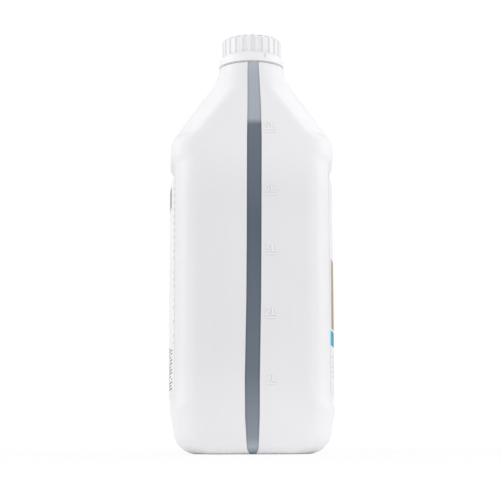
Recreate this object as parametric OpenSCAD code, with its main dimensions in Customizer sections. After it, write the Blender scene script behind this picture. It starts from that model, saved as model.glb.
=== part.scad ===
// Five litre floor cleaner jug: a blown bottle with a hollow top handle, a view stripe on its
// pouring face, two panel labels, a ribbed screw cap with a tamper band, and the cleaner inside.
// The pouring face looks along -Y, the front label faces +X and the handle runs back along +Y.

/* [Body] */
// Width over the rims, at the upright corners
rim_w = 122.6; // [114:0.2:130]
// Depth from the pouring face to the back face
body_d = 180; // [170:1:192]
// Radius of the four upright corners
corner_r = 20; // [18:0.5:26]
// Rounding of the bottom edge
base_r = 15.5; // [8:0.5:17]
// Rounding of the body's top edge
top_r = 12; // [8:0.5:12.5]
// How far each wide side draws in towards the foot
foot_in = 2.4; // [0:0.2:5]
// Height where the drawn-in foot reaches full width
foot_top = 34; // [28:1:38]
// Bow of the rims, as the angle where a side leaves its corner
rim_bow = 1; // [0.5:0.5:4]
// Wall of the blown shell
wall = 1.2; // [1:0.1:2]

/* [Label panels] */
// Height of the panel's lower edge
panel_bottom = 45; // [43:1:60]
// Height of the panel
panel_h = 165; // [140:1:180]
// How far the panel's upright edges lie inside the rims
panel_in = 1.8; // [0.5:0.1:3]
// Height of the soft step between rim and panel
panel_step = 4; // [2:0.5:5]
// Bow of a filled panel, as the angle where it leaves its corner
panel_bow = 8.7; // [6:0.1:11]

/* [Base] */
// Depth of the push-up under the base
push_up = 3; // [1:0.5:5]
// Width of the flat ring that the jug stands on
stand_ring = 7; // [4:0.5:12]
// Width of the sloping wall round the push-up
push_slope = 8; // [5:0.5:14]

/* [Shoulder] */
// Height of the plain rim between panel and shoulder
rim_h = 10.4; // [6:0.2:16]
// Steepness of the shoulder, from level
shoulder_slope = 55; // [52:0.1:57]
// Rounding between rim and shoulder
shoulder_r = 22; // [14:1:26]
// Hollow rounding between shoulder and neck
neck_fillet = 16; // [8:1:20]
// How far the shoulder runs back behind the neck, at its foot
shoulder_back = 30; // [10:1:36]
// Rise of the flat body top above the rim
saddle_rise = 11.5; // [9:0.5:14]

/* [Handle] */
// Width of the grip
grip_w = 30; // [24:1:36]
// Thickness of the grip
grip_t = 23; // [18:1:26]
// Rise of the grip's middle line above the body top
grip_rise = 40; // [36:1:42]
// Distance of the back leg's middle line from the back face
leg_in = 14; // [13:0.5:20]

/* [Neck] */
// How far the neck's smooth column stands behind the pouring face
neck_back = 3.2; // [2.4:0.1:9]
// How far the smooth neck stands out past the tamper band
collar_out = 0.05; // [0.05:0.05:1]
// Height of the smooth neck under the tamper band
collar_h = 2.8; // [2.4:0.2:8]
// Outer radius of the neck under its thread
finish_r = 18.6; // [15:0.1:22]
// Wall of the neck round its mouth
neck_wall = 2.1; // [1.6:0.1:3]
// Height of the neck above the collar
finish_h = 18.1; // [16:0.1:22]
// How far the bead that holds the tamper band stands out
bead_out = 2.4; // [1.8:0.1:2.6]
// Height of that bead
bead_h = 1.8; // [1.2:0.1:2.4]

/* [Cap] */
// Room for the thread between neck and skirt
thread_room = 1.6; // [1.4:0.05:2]
// Wall of the skirt, over its ribs
skirt_t = 2.45; // [2:0.05:3]
// Number of ribs
ribs = 24; // [16:1:36]
// Depth of the grooves between the ribs
rib_depth = 0.7; // [0.4:0.05:1]
// Share of the pitch that a groove takes
groove_share = 0.48; // [0.3:0.02:0.6]
// Height of the plain edge under the ribs
cap_edge = 0.3; // [0.2:0.1:2]
// Thickness of the cap's top
cap_top = 2; // [1.4:0.1:3]
// Rounding of the crown
crown_r = 2; // [1:0.1:3]
// Thickness of the sealing disc
liner_t = 1.4; // [0.8:0.1:2]
// Slack round the sealing disc
liner_slack = 0.4; // [0.3:0.1:0.8]

/* [Tamper band] */
// How far the band flares out past the cap
band_out = 2.1; // [1.6:0.05:3]
// Height of the band
band_h = 8; // [6:0.1:9]
// Height of the flare between cap and band
band_flare = 2.4; // [1:0.1:3]
// Gap under the band's outer edge
band_gap = 0.7; // [0.4:0.1:1.2]
// How far the band's foot stands back inside that gap
band_foot_in = 1.4; // [1:0.1:2]
// Clearance between the band and the neck that it rides on
band_clear = 0.5; // [0.3:0.1:0.7]
// Torn line between band and cap
tear_gap = 0.35; // [0.3:0.05:0.6]
// Width of the slit where the band starts to tear
slit_w = 0.6; // [0.4:0.1:1]
// Direction of that slit, from the pouring face towards +X
slit_angle = 21; // [0:1:60]

/* [Labels] */
// Distance of a label's upright edges from the panel's
label_side = 2.5; // [2:0.5:30]
// Distance of a label's level edges from the panel's
label_end = 1.5; // [1:0.5:30]
// Thickness of a label
label_t = 0.2; // [0.1:0.05:0.4]
// Rounding of a label's corners
label_r = 4; // [1:0.5:8]

/* [Contents] */
// Rise of the cleaner's level above the body top
fill_rise = 11.5; // [4:0.5:20]
// Slack between the cleaner and the wall
fill_slack = 0.35; // [0.3:0.05:0.6]

/* [Hidden] */
$fn = 64;

// Steps of the lofted outlines
corner_steps = 5;
side_steps = 8;
round_steps = 4;
shoulder_steps = 5;
handle_steps = 18;
handle_sides = 20;
crown_steps = 6;

// How far a cutting form runs past the face that it cuts
past = 1;

rim_half = rim_w / 2;
panel_half = rim_half - panel_in;
foot_half = rim_half - foot_in;
front_y = -body_d / 2;
back_y = body_d / 2;
panel_top = panel_bottom + panel_h;
shoulder_z = panel_top + panel_step + rim_h;
body_top = shoulder_z + saddle_rise;

// Radii out from the neck's wall to the collar under the band
bore_r = finish_r - neck_wall;
bead_r = finish_r + bead_out;
skirt_r = finish_r + thread_room;
cap_r = skirt_r + skirt_t;
band_r = cap_r + band_out;
collar_r = band_r + collar_out;

// The column that carries the neck, slipped just inside the collar
collar_lip = 0.5;
column_r = collar_r - collar_lip;
column_flat = 0.4;
column_bow = 4;
column_tuck = 0.3;
neck_y = front_y + neck_back + column_r;

// The shoulder's two arcs and the straight slope between them
shoulder_turn = 90 - shoulder_slope;
shoulder_foot = 4;
slope_x = rim_half - shoulder_r * (1 - cos(shoulder_turn));
slope_z = shoulder_z + shoulder_r * sin(shoulder_turn);
fillet_x = column_r + neck_fillet * (1 - cos(shoulder_turn));
fillet_z = slope_z + (slope_x - fillet_x) / tan(shoulder_turn);
column_z = fillet_z + neck_fillet * sin(shoulder_turn);

// Heights up the neck
collar_z = column_z + collar_lip;
column_end = collar_z + collar_h / 3;
collar_top = collar_z + collar_h;
throat_r = column_r - wall - collar_lip;
throat_z = collar_top - collar_lip;
band_top = collar_top + band_h;
bead_top = band_top - band_clear;
bead_bottom = bead_top - bead_h;
neck_top = collar_top + finish_h;

// Heights up the cap
cap_bottom = band_top + tear_gap;
rib_bottom = cap_bottom + cap_edge;
liner_top = neck_top + liner_t;
cap_z = liner_top + cap_top;
rib_pitch = 360 / ribs;
groove_w = groove_share * 2 * PI * cap_r / ribs;

// The panel's arc, which the labels follow
panel_chord = body_d / 2 - corner_r * (1 - sin(panel_bow));
panel_arc_r = panel_chord / sin(panel_bow);
panel_arc_x = panel_half - corner_r + (corner_r - panel_arc_r) * cos(panel_bow);
label_w = 2 * (panel_chord - label_side);
label_h = panel_h - 2 * label_end;

fill_level = body_top + fill_rise;

function smooth(t) = let (u = max(0, min(1, t))) u * u * (3 - 2 * u);

function arc(cx, cy, r, from, to, steps) =
    [for (i = [0:steps]) let (a = from + (to - from) * i / steps) [cx + r * cos(a), cy + r * sin(a)]];

// A rounded oblong with bowed long sides, drawn in all round by inset
function outline(half, y0, y1, r, bow, inset) =
    let (
        cx = half - r,
        big = ((y1 - y0) / 2 - r * (1 - sin(bow))) / sin(bow),
        bx = cx + (r - big) * cos(bow),
        bowed = arc(bx, (y0 + y1) / 2, big - inset, -bow, bow, side_steps),
        right = concat(
            arc(cx, y0 + r, r - inset, -90, -bow, corner_steps),
            [for (i = [1:side_steps - 1]) bowed[i]],
            arc(cx, y1 - r, r - inset, bow, 90, corner_steps)
        )
    )
    concat(right, [for (i = [len(right) - 1:-1:0]) [-right[i][0], right[i][1]]]);

function raised(points, z) = [for (p = points) [p[0], p[1], z]];

function body_ring(half, bow, inset, z) =
    raised(outline(half, front_y, back_y, corner_r, bow, inset), z);

// Level rings of the body from its foot to its top
function body_rings(inset) =
    concat(
        [for (i = [0:round_steps])
            let (a = 90 * i / round_steps, r = base_r - inset)
            body_ring(foot_half, rim_bow, base_r - r * sin(a), base_r - r * cos(a))],
        [
            body_ring(rim_half, rim_bow, inset, foot_top),
            body_ring(rim_half, rim_bow, inset, panel_bottom - panel_step),
            body_ring(panel_half, panel_bow, inset, panel_bottom),
            body_ring(panel_half, panel_bow, inset, panel_top),
            body_ring(rim_half, rim_bow, inset, panel_top + panel_step)
        ],
        [for (i = [0:round_steps])
            let (a = 90 * i / round_steps, r = top_r - inset)
            body_ring(rim_half, rim_bow, top_r - r * cos(a), body_top - top_r + r * sin(a))]
    );

// Half width and height up the shoulder: rim, round, slope, hollow round, neck column
shoulder_profile = concat(
    [[rim_half, shoulder_z - shoulder_foot]],
    [for (i = [0:shoulder_steps])
        let (a = shoulder_turn * i / shoulder_steps)
        [rim_half - shoulder_r * (1 - cos(a)), shoulder_z + shoulder_r * sin(a)]],
    [[(slope_x + fillet_x) / 2, (slope_z + fillet_z) / 2]],
    [for (i = [shoulder_steps:-1:0])
        let (a = shoulder_turn * i / shoulder_steps)
        [column_r + neck_fillet * (1 - cos(a)), column_z - neck_fillet * sin(a)]],
    [[column_r, column_end]]
);

// One level outline of the shoulder, from an oblong at its foot to a round at the neck
function shoulder_outline(half, inset) =
    let (
        u = (rim_half - half) / (rim_half - column_r),
        y0 = front_y + neck_back * smooth(2 * u - 1),
        y1 = neck_y + column_r + shoulder_back * (1 - u),
        r = corner_r + (column_r - column_flat - corner_r) * u
    )
    outline(half - column_tuck * (1 - u), y0, y1, r, column_bow, inset);

// The handle's middle line in the Y-Z plane: out of the shoulder, along the top, down the back
grip_root_y = 8;
grip_root_z = 26;
grip_line = [
    [neck_y + grip_root_y, body_top + grip_root_z],
    [neck_y + collar_r * 2, body_top + grip_rise * 1.2],
    [back_y - leg_in * 0.6, body_top + grip_rise * 1.3],
    [back_y - leg_in, body_top - top_r]
];

function bezier(p, t) =
    let (s = 1 - t)
    s * s * s * p[0] + 3 * s * s * t * p[1] + 3 * s * t * t * p[2] + t * t * t * p[3];

function bezier_way(p, t) =
    let (s = 1 - t, d = s * s * (p[1] - p[0]) + 2 * s * t * (p[2] - p[1]) + t * t * (p[3] - p[2]))
    d / norm(d);

function grip_ring(t, inset) =
    let (p = bezier(grip_line, t), w = bezier_way(grip_line, t))
    [for (i = [0:handle_sides - 1])
        let (
            a = -360 * i / handle_sides,
            out = (grip_t / 2 - inset) * sin(a)
        )
        [(grip_w / 2 - inset) * cos(a), p[0] - out * w[1], p[1] + out * w[0]]];

// A skin over rings that all have the same number of points, closed at both ends
module loft(rings) {
    count = len(rings[0]);
    last = len(rings) - 1;
    sides = [for (k = [0:last - 1]) for (i = [0:count - 1])
        let (a = k * count + i, b = k * count + (i + 1) % count)
        each [[a, a + count, b + count], [a, b + count, b]]];
    foot = [for (i = [0:count - 1]) i];
    head = [for (i = [count - 1:-1:0]) last * count + i];
    polyhedron([for (ring = rings) each ring], concat([foot], sides, [head]));
}

module shoulder_form(inset, above) {
    top = len(shoulder_profile) - 1;
    loft([for (i = [0:top])
        let (p = shoulder_profile[i])
        raised(shoulder_outline(p[0], inset), p[1] + (i == top ? above : 0))]);
}

// The outside of the bottle under its neck, or its inside when drawn in by the wall
module bottle_form(inset, above) {
    loft(body_rings(inset));
    shoulder_form(inset, above);
    loft([for (k = [0:handle_steps]) grip_ring(k / handle_steps, inset)]);
}

function push_up_ring(edge, z) =
    raised(outline(foot_half - edge, front_y + edge, back_y - edge, corner_r, rim_bow, 0), z);

// The push-up under the base, grown by the wall for its inner side
module push_up_form(grown) {
    edge = base_r + stand_ring - grown;
    run = push_slope / push_up;
    loft([
        push_up_ring(edge - past * run, grown - past),
        push_up_ring(edge + push_slope, push_up + grown)
    ]);
}

// The space inside the bottle, open at the neck
module inside(inset) {
    difference() {
        bottle_form(inset, past);
        push_up_form(inset);
    }
}

// A form that is moulded as one skin, held to its depth
module one_skin(depth) {
    resize([0, depth, 0]) children();
}

module about_neck() {
    translate([0, neck_y, 0]) children();
}

module neck_finish() {
    bead_edge = bead_bottom + bead_h / 2;
    about_neck() rotate_extrude() polygon([
        [throat_r, collar_z],
        [collar_r, collar_z],
        [collar_r, collar_top],
        [finish_r, collar_top],
        [finish_r, bead_bottom],
        [bead_r, bead_bottom],
        [bead_r, bead_edge],
        [finish_r, bead_top],
        [finish_r, neck_top],
        [bore_r, neck_top],
        [bore_r, throat_z]
    ]);
}

module bottle() {
    color("white") {
        one_skin(body_d) difference() {
            bottle_form(0, 0);
            inside(wall);
            push_up_form(0);
        }
        neck_finish();
    }
}

// The cleaner stands on the bottle's floor, a little slack of its walls
module cleaner() {
    inset = wall + fill_slack;
    color("slategray") one_skin(body_d - 2 * inset) intersection() {
        translate([0, 0, -fill_slack]) inside(inset);
        translate([-rim_w, -body_d, 0]) cube([2 * rim_w, 2 * body_d, fill_level]);
    }
}

module tamper_band() {
    band_bottom = collar_top + band_gap;
    foot_r = band_r - band_foot_in;
    lip_r = finish_r + band_clear;
    lip_top = bead_bottom - band_clear;
    ring_r = bead_r + band_clear;
    color("whitesmoke") about_neck() difference() {
        rotate_extrude() polygon([
            [lip_r, collar_top],
            [foot_r, collar_top],
            [foot_r, band_bottom],
            [band_r, band_bottom],
            [band_r, band_top - band_flare],
            [cap_r, band_top],
            [ring_r, band_top],
            [ring_r, lip_top],
            [lip_r, lip_top]
        ]);
        rotate([0, 0, slit_angle]) translate([-slit_w / 2, -band_r - past, lip_top])
            cube([slit_w, band_r - ring_r + 2 * past, band_h]);
    }
}

module screw_cap() {
    crown_x = cap_r - crown_r;
    crown_z = cap_z - crown_r;
    color("whitesmoke") about_neck() difference() {
        rotate_extrude() polygon(concat(
            [[0, liner_top], [skirt_r, liner_top], [skirt_r, cap_bottom], [cap_r, cap_bottom]],
            arc(crown_x, crown_z, crown_r, 0, 90, crown_steps),
            [[0, cap_z]]
        ));
        for (i = [0:ribs - 1]) rotate([0, 0, i * rib_pitch])
            translate([cap_r - rib_depth, -groove_w / 2, rib_bottom])
                cube([rib_depth + past, groove_w, cap_z]);
    }
}

module cap_liner() {
    color("lightgray") about_neck() translate([0, 0, neck_top])
        cylinder(r = skirt_r - liner_slack, h = liner_t);
}

// A label's outline, a straight oblong with round corners
function label_outline() =
    let (x = label_w / 2 - label_r, y = label_h / 2 - label_r)
    concat(
        arc(x, y, label_r, 0, 90, corner_steps),
        arc(-x, y, label_r, 90, 180, corner_steps),
        arc(-x, -y, label_r, 180, 270, corner_steps),
        arc(x, -y, label_r, 270, 360, corner_steps)
    );

// A sheet that follows the bow of a filled panel
module label_sheet() {
    turn = asin(label_w / 2 / panel_arc_r) + past;
    middle = panel_bottom + panel_h / 2;
    intersection() {
        translate([panel_arc_x, 0, panel_bottom]) rotate([0, 0, -turn]) rotate_extrude(angle = 2 * turn)
            translate([panel_arc_r, 0]) square([label_t, panel_h]);
        translate([0, 0, middle]) rotate([90, 0, 90]) linear_extrude(rim_w) polygon(label_outline());
    }
}

module front_label() {
    color("tan") label_sheet();
}

module back_label() {
    color("gainsboro") mirror([1, 0, 0]) label_sheet();
}

bottle();
cleaner();
tamper_band();
screw_cap();
cap_liner();
front_label();
back_label();
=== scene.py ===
import math
import bmesh
import bpy
import numpy as np
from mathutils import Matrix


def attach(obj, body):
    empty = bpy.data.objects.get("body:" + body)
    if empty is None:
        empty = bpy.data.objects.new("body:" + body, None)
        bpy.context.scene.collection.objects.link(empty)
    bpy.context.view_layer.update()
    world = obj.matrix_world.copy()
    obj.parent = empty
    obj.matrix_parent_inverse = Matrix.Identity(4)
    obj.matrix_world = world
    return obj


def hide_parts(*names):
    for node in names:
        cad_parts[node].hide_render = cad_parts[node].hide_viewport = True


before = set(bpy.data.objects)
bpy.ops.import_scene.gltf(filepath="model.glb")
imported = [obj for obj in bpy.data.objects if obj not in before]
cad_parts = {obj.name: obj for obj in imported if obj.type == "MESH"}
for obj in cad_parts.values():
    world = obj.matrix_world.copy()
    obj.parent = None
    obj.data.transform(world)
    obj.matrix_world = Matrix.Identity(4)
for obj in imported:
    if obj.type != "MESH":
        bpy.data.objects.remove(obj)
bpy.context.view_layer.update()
scene = bpy.context.scene
scene.view_settings.view_transform = "Standard"
mm = 0.001


# Small helpers for meshes

boxFaces = [(3, 2, 1, 0), (4, 5, 6, 7), (0, 1, 5, 4), (1, 2, 6, 5), (2, 3, 7, 6), (3, 0, 4, 7)]


def addPiece(name, points, faces, edges=()):
    mesh = bpy.data.meshes.new(name)
    mesh.from_pydata([tuple(p) for p in points], edges, faces)
    mesh.update()
    piece = bpy.data.objects.new(name, mesh)
    scene.collection.objects.link(piece)
    return piece


def closeUp(piece, gap=2e-6):
    work = bmesh.new()
    work.from_mesh(piece.data)
    bmesh.ops.remove_doubles(work, verts=work.verts, dist=gap)
    bmesh.ops.dissolve_degenerate(work, edges=work.edges, dist=gap / 4)
    bmesh.ops.recalc_face_normals(work, faces=work.faces)
    work.to_mesh(piece.data)
    work.free()
    piece.data.update()


def settle(piece):  # live modifiers become the plain mesh
    bpy.context.view_layer.update()
    graph = bpy.context.evaluated_depsgraph_get()
    made = bpy.data.meshes.new_from_object(piece.evaluated_get(graph))
    old = piece.data
    piece.modifiers.clear()
    piece.data = made
    made.name = piece.name
    bpy.data.meshes.remove(old)


def drop(piece):
    data = piece.data
    bpy.data.objects.remove(piece)
    if data.users == 0:
        bpy.data.meshes.remove(data)


def weld(piece, tool, how):  # solid boolean, the tool is used up
    step = piece.modifiers.new("weld", "BOOLEAN")
    step.operation = how
    step.solver = "MANIFOLD"
    step.object = tool
    settle(piece)
    drop(tool)


def smoothFaces(piece, angle):
    piece.data.polygons.foreach_set("use_smooth", [True] * len(piece.data.polygons))
    piece.data.set_sharp_from_angle(angle=math.radians(angle))


def roundOff(profile, steps=4):  # (radius, height, rounding) corners to a soft path
    path = []
    count = len(profile)
    for i, (r, z, soft) in enumerate(profile):
        here = np.array((r, z))
        if soft <= 0:
            path.append((r, z))
            continue
        before = np.array(profile[i - 1][:2]) - here
        after = np.array(profile[(i + 1) % count][:2]) - here
        start = here + before / np.linalg.norm(before) * soft
        end = here + after / np.linalg.norm(after) * soft
        for k in range(steps + 1):
            t = k / steps
            path.append(tuple((1 - t) ** 2 * start + 2 * t * (1 - t) * here + t * t * end))
    return path


def lathe(name, path, turns, centreY):  # closed path of (radius, height) in mm, about the neck
    count = len(path)
    points, faces = [], []
    for i in range(turns):
        a = 2 * math.pi * i / turns
        points += [(r * math.cos(a) * mm, (centreY + r * math.sin(a)) * mm, z * mm) for r, z in path]
    for i in range(turns):
        for j in range(count):
            a, b = i * count + j, i * count + (j + 1) % count
            c, d = (i + 1) % turns * count + (j + 1) % count, (i + 1) % turns * count + j
            faces.append((a, d, c, b))
    piece = addPiece(name, points, faces)
    closeUp(piece)
    return piece


# Small helpers for node trees

def newTree(name, kind, inputs, outputs):
    tree = bpy.data.node_groups.new(name, kind)
    for label, socket, value in inputs:
        item = tree.interface.new_socket(name=label, in_out="INPUT", socket_type=socket)
        if value is not None:
            item.default_value = value
    for label, socket in outputs:
        tree.interface.new_socket(name=label, in_out="OUTPUT", socket_type=socket)
    return tree, tree.nodes.new("NodeGroupInput"), tree.nodes.new("NodeGroupOutput")


def floats(*sockets):  # (name, default) pairs of plain number inputs
    return [(name, "NodeSocketFloat", value) for name, value in sockets]


def put(tree, kind, feeds=None, **settings):
    node = tree.nodes.new(kind)
    for key, value in settings.items():
        setattr(node, key, value)
    for key, value in (feeds or {}).items():
        if isinstance(value, bpy.types.NodeSocket):
            tree.links.new(value, node.inputs[key])
        else:
            node.inputs[key].default_value = value
    return node


def calc(tree, how, *values):
    return put(tree, "ShaderNodeMath", dict(enumerate(values)), operation=how).outputs[0]


def times(tree, first, second):
    return calc(tree, "MULTIPLY", first, second)


def plus(tree, first, second):
    return calc(tree, "ADD", first, second)


def minus(tree, first, second):
    return calc(tree, "SUBTRACT", first, second)


def ease(tree, value, low, high, start=0.0, end=1.0):
    feeds = {"Value": value, "From Min": low, "From Max": high, "To Min": start, "To Max": end}
    return put(tree, "ShaderNodeMapRange", feeds, interpolation_type="SMOOTHSTEP").outputs["Result"]


def mixed(tree, factor, first, second):
    return put(tree, "ShaderNodeMix", {0: factor, 6: first, 7: second}, data_type="RGBA").outputs[2]


def shaded(tree, colour, tone):  # the colour times a tone
    feeds = {0: 1.0, 6: colour, 7: tone}
    return put(tree, "ShaderNodeMix", feeds, data_type="RGBA", blend_type="MULTIPLY").outputs[2]


def noise(tree, place, scale, detail):
    return put(tree, "ShaderNodeTexNoise", {"Vector": place, "Scale": scale, "Detail": detail}).outputs[0]


def objectPlace(tree):
    return put(tree, "ShaderNodeTexCoord").outputs["Object"]


def ramp(tree, value, stops):
    node = put(tree, "ShaderNodeValToRGB", {0: value})
    edge = node.color_ramp.elements
    while len(edge) < len(stops):
        edge.new(0.5)
    for stop, (place, colour) in zip(edge, stops):
        stop.position = place
        stop.color = colour
    return node.outputs["Color"]


def paint(red, green, blue):  # a screen colour, 0 to 255, as Blender's linear one
    def one(v):
        v = v / 255
        return v / 12.92 if v <= 0.04045 else ((v + 0.055) / 1.055) ** 2.4
    return (one(red), one(green), one(blue), 1.0)


def useGroup(tree, group, **feeds):
    return put(tree, "ShaderNodeGroup", feeds, node_tree=group).outputs


def endMesh(tree, come, go, shape):  # every mesh tree ends in real faces with a material
    real = put(tree, "GeometryNodeRealizeInstances", {"Geometry": shape})
    named = put(tree, "GeometryNodeSetMaterial", {
        "Geometry": real.outputs[0], "Material": come.outputs["Material"]})
    tree.links.new(named.outputs[0], go.inputs[0])


def hook(tree, shader, **feeds):  # sockets into the shader, _ standing for a space
    for key, value in feeds.items():
        tree.links.new(value, shader.inputs[key.replace("_", " ")])


def newMaterial(name):
    made = bpy.data.materials.new(name)
    made.use_nodes = True
    tree = made.node_tree
    return made, tree, tree.nodes["Principled BSDF"]


def dress(piece, finish):
    piece.data.materials.clear()
    piece.data.materials.append(finish)
    piece.data.polygons.foreach_set("material_index", [0] * len(piece.data.polygons))


def runNodes(piece, tree, values):  # modifier inputs go in by identifier, before the first look
    step = piece.modifiers.new(tree.name, "NODES")
    step.node_group = tree
    for item in tree.interface.items_tree:
        if item.in_out == "INPUT" and item.name in values:
            step[item.identifier] = values[item.name]
    settle(piece)


# Camera, at the photograph's low view on the pouring face

cameraSet = {
    "place": (-0.0126, -1.050, 0.02),
    "tilt": 6.567, "roll": 0.15, "yaw": -0.628, "lens": 94.787,
    "shiftY": 0.05,
}


def makeCamera(s):
    data = bpy.data.cameras.new("camera")
    data.sensor_width = 36
    data.lens = s["lens"]
    data.shift_y = s["shiftY"]
    data.clip_end = 50
    camera = bpy.data.objects.new("camera", data)
    camera.location = s["place"]
    camera.rotation_euler = [math.radians(a) for a in (90 + s["tilt"], s["roll"], s["yaw"])]
    scene.collection.objects.link(camera)
    scene.camera = camera


makeCamera(cameraSet)
print("camera set")


# Shader groups shared by the materials

skinSet = {
    "cloud": 26.0, "draw": (240.0, 240.0, 7.0), "cloudTone": 0.035, "streakTone": 0.02, "leastTone": 0.9725,
    "cloudRough": 0.14, "peelRough": 0.08, "evenRough": 0.11, "leastRough": 0.29,
}


def makeMouldedSkin(s):
    tree, come, go = newTree(
        "mouldedSkin", "ShaderNodeTree",
        [("Place", "NodeSocketVector", None), *floats(("Peel", 420.0), ("Sheen", 0.36))],
        [("Tone", "NodeSocketFloat"), ("Roughness", "NodeSocketFloat"), ("Height", "NodeSocketFloat")])
    place = come.outputs["Place"]
    peel = noise(tree, place, come.outputs["Peel"], 2.0)
    cloud = noise(tree, place, s["cloud"], 3.0)
    drawn = put(tree, "ShaderNodeVectorMath", {0: place, 1: s["draw"]}, operation="MULTIPLY").outputs[0]
    streak = noise(tree, drawn, 1.0, 2.0)
    uneven = plus(tree, times(tree, cloud, s["cloudTone"]), times(tree, streak, s["streakTone"]))
    rough = plus(tree, times(tree, cloud, s["cloudRough"]), times(tree, peel, s["peelRough"]))
    rough = plus(tree, minus(tree, rough, s["evenRough"]), come.outputs["Sheen"])
    hook(
        tree, go, Tone=plus(tree, uneven, s["leastTone"]),
        Roughness=calc(tree, "MAXIMUM", rough, s["leastRough"]),
        Height=plus(tree, times(tree, peel, 0.7), times(tree, streak, 0.3)))
    return tree


def makeSoftBand():
    sockets = floats(("Value", 0.0), ("Low", 0.0), ("High", 1.0), ("Edge", 0.0002))
    tree, come, go = newTree("softBand", "ShaderNodeTree", sockets, [("Mask", "NodeSocketFloat")])
    value, low, high, edge = (come.outputs[n] for n in ("Value", "Low", "High", "Edge"))
    up = ease(tree, value, minus(tree, low, edge), plus(tree, low, edge))
    down = ease(tree, value, minus(tree, high, edge), plus(tree, high, edge))
    hook(tree, go, Mask=times(tree, up, minus(tree, 1.0, down)))
    return tree


def makeNookShade():  # less light in narrow corners
    sockets = floats(("Reach", 0.0012), ("Deepest", 0.7))
    tree, come, go = newTree("nookShade", "ShaderNodeTree", sockets, [("Shade", "NodeSocketFloat")])
    reach = {"Distance": come.outputs["Reach"]}
    clear = put(tree, "ShaderNodeAmbientOcclusion", reach, samples=8).outputs["AO"]
    hook(tree, go, Shade=ease(tree, clear, 0.35, 0.97, come.outputs["Deepest"], 1.0))
    return tree


mouldedSkin, softBand, nookShade = makeMouldedSkin(skinSet), makeSoftBand(), makeNookShade()


def inBand(tree, value, low, high, edge=0.0002):
    return useGroup(tree, softBand, Value=value, Low=low, High=high, Edge=edge)["Mask"]


barsSet = {"inkLow": 0.28, "inkHigh": 0.7, "soft": 0.06, "shift": 0.37, "blanks": 0.16, "ragged": 0.22}


def dice(tree, x, y, z):  # a fixed random value for each cell
    cell = put(tree, "ShaderNodeCombineXYZ", {"X": x, "Y": y, "Z": z}).outputs[0]
    return put(tree, "ShaderNodeTexWhiteNoise", {"Vector": cell}, noise_dimensions="3D").outputs["Value"]


def makePrintBars(s):  # broken rows of plain bars
    sockets = floats(
        ("Across", 0.0), ("Up", 0.0), ("Left", 0.0), ("Right", 1.0), ("Low", 0.0), ("High", 1.0),
        ("Pitch", 0.003), ("Word", 0.006), ("Seed", 0.0))
    tree, come, go = newTree("printBars", "ShaderNodeTree", sockets, [("Mask", "NodeSocketFloat")])
    get = come.outputs
    row = calc(tree, "DIVIDE", get["Up"], get["Pitch"])
    bar = inBand(tree, calc(tree, "FRACT", row), s["inkLow"], s["inkHigh"], s["soft"])
    line = calc(tree, "FLOOR", row)
    word = plus(tree, calc(tree, "DIVIDE", get["Across"], get["Word"]), times(tree, line, s["shift"]))
    chance = dice(tree, calc(tree, "FLOOR", word), line, get["Seed"])
    inked = calc(tree, "GREATER_THAN", chance, s["blanks"])
    short = times(tree, dice(tree, line, get["Seed"], 7.0), s["ragged"])
    reach = times(tree, minus(tree, get["Right"], get["Left"]), short)
    wide = inBand(tree, get["Across"], get["Left"], minus(tree, get["Right"], reach))
    tall = inBand(tree, get["Up"], get["Low"], get["High"])
    hook(tree, go, Mask=times(tree, times(tree, bar, inked), times(tree, wide, tall)))
    return tree


printBars = makePrintBars(barsSet)


# Blown polyethylene, with the view stripe on the pouring face

bottleFinish = {
    # the lean paints light on one side: the +X side lighter
    "white": (0.86, 0.85, 0.873, 1.0), "sheen": 0.36, "peel": 330.0, "lean": 0.45,
    "shoulderGain": (0.185, 0.235, 0.0, 0.07), "neckLoss": (0.265, 0.285, 0.0, 0.03),  # from z, to z, tones
    # the foot's tones are painted light from the floor, lighter towards the foot
    "shoulderFace": (-0.076, -0.056, 1.0, 0.0), "footFloorLight": (0.008, 0.085, 0.08, 0.0),
    # the litre marks get a whiter colour, a painted highlight
    "markHighlight": (0.985, 0.985, 0.99, 1.0), "markFace": (-0.0903, -0.09012, 1.0, 0.0),
    "nookReach": 0.0012, "nookDeepest": 0.78,
    "stripeTop": 0.294, "stripeFace": -0.0745, "stripeTall": 0.3, "stripeScale": 0.01,
    "stripeRun": (  # share of the height, middle line, half width
        (0.0, 0.5, 0.2), (0.006, 0.495, 0.33), (0.014, 0.49, 0.42), (0.03, 0.485, 0.45),
        (0.09, 0.47, 0.535), (0.18, 0.47, 0.55), (0.38, 0.59, 0.545), (0.52, 0.63, 0.545),
        (0.78, 0.67, 0.55), (0.86, 0.67, 0.505), (0.95, 0.61, 0.435), (1.0, 0.6, 0.385)),
    "stripeTones": (  # foot in painted shade, a low band of painted light, deep, under the level, air over it, neck
        (0.0, (135, 142, 153)), (0.018, (174, 181, 190)), (0.04, (143, 150, 162)),
        (0.2, (105, 115, 129)), (0.56, (85, 98, 112)), (0.812, (106, 115, 129)),
        (0.826, (172, 178, 187)), (0.94, (175, 181, 190)), (1.0, (192, 198, 207))),
    "rimDark": 0.22, "lap": 0.005,
    "seamHalf": 0.00018, "seamSoft": 0.00016, "seamHeight": 0.5, "peelHeight": 0.16,
}


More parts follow.
